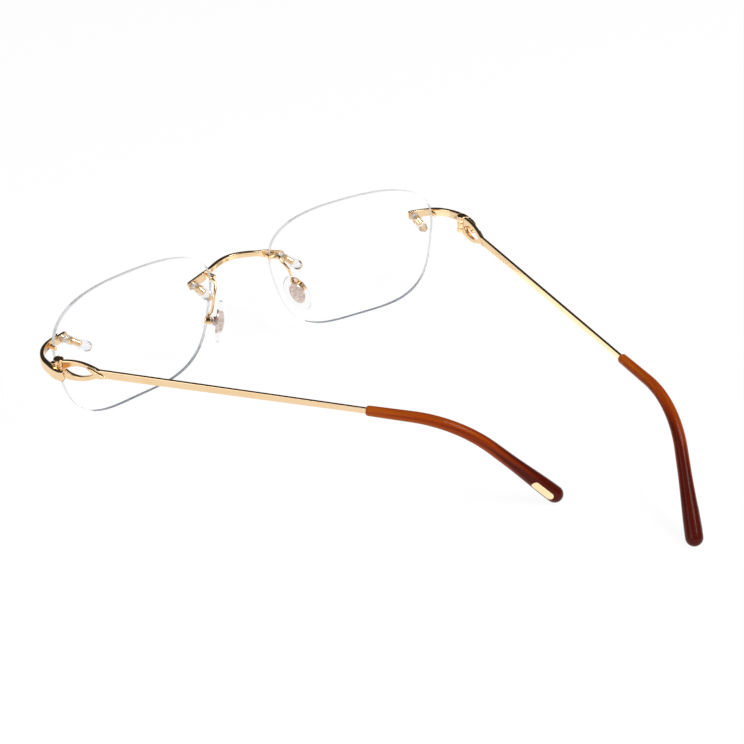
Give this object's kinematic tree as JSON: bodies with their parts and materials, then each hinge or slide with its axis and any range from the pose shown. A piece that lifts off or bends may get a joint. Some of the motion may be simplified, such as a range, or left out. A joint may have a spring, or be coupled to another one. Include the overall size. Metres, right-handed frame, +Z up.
{
  "type": "rimless eyeglasses",
  "caption": "Rimless spectacles with two drilled curved lenses, arched bridge, screw-on endpieces, hinged wire temples and rocking nose pads.",
  "frame": {"origin": "under the middle of the glasses, in the plane of the table they stand on", "axes": "+X the wearer's left, +Y from the lenses back along the temples, +Z up"},
  "size_m": [0.1378, 0.152, 0.0367],
  "materials": {
    "gold_metal": "polished pale gold plating",
    "clear_lens": "polished, clear",
    "clear_nylon": "clear, glossy",
    "clear_silicone": "clear, satin",
    "pad_core_metal": "pinkish gold, satin",
    "brown_acetate": "translucent brown, polished"
  },
  "bodies": {
    "front": {"bridge": "gold_metal", "left_endpiece": "gold_metal", "left_hinge_screw": "gold_metal", "left_inner_back_washer": "clear_nylon", "left_inner_front_washer": "clear_nylon", "left_inner_lens_nut": "gold_metal", "left_inner_lens_screw": "gold_metal", "left_inner_screw_cap": "clear_nylon", "left_lens": "clear_lens", "left_outer_back_washer": "clear_nylon", "left_outer_front_washer": "clear_nylon", "left_outer_lens_nut": "gold_metal", "left_outer_lens_screw": "gold_metal", "left_outer_screw_cap": "clear_nylon", "left_pad_arm": "gold_metal", "left_pad_screw": "gold_metal", "right_endpiece": "gold_metal", "right_hinge_screw": "gold_metal", "right_inner_back_washer": "clear_nylon", "right_inner_front_washer": "clear_nylon", "right_inner_lens_nut": "gold_metal", "right_inner_lens_screw": "gold_metal", "right_inner_screw_cap": "clear_nylon", "right_lens": "clear_lens", "right_outer_back_washer": "clear_nylon", "right_outer_front_washer": "clear_nylon", "right_outer_lens_nut": "gold_metal", "right_outer_lens_screw": "gold_metal", "right_outer_screw_cap": "clear_nylon", "right_pad_arm": "gold_metal", "right_pad_screw": "gold_metal"},
    "left_temple": {"left_temple": "gold_metal", "left_temple_tip": "brown_acetate", "left_tip_inlay": "gold_metal"},
    "right_temple": {"right_temple": "gold_metal", "right_temple_tip": "brown_acetate", "right_tip_inlay": "gold_metal"},
    "left_pad": {"left_nose_pad": "clear_silicone", "left_pad_core": "pad_core_metal"},
    "right_pad": {"right_nose_pad": "clear_silicone", "right_pad_core": "pad_core_metal"}
  },
  "joints": [
    {"name": "left_hinge", "type": "hinge", "parent": "front", "child": "left_temple", "pos_m": [0.0659, -0.05357, 0.02597], "axis": [0, 0, 1], "range_deg": [-33.1, 47.5]},
    {"name": "right_hinge", "type": "hinge", "parent": "front", "child": "right_temple", "pos_m": [-0.0659, -0.05357, 0.02597], "axis": [0, 0, -1], "range_deg": [0, 28]},
    {"name": "left_pad_rock", "type": "hinge", "parent": "front", "child": "left_pad", "pos_m": [0.0153, -0.06227, 0.01787], "axis": [-0.5157, -0.7791, -0.3564], "range_deg": [-8, 8]},
    {"name": "right_pad_rock", "type": "hinge", "parent": "front", "child": "right_pad", "pos_m": [-0.0153, -0.06227, 0.01787], "axis": [-0.5157, 0.7791, 0.3564], "range_deg": [-8, 8]}
  ]
}
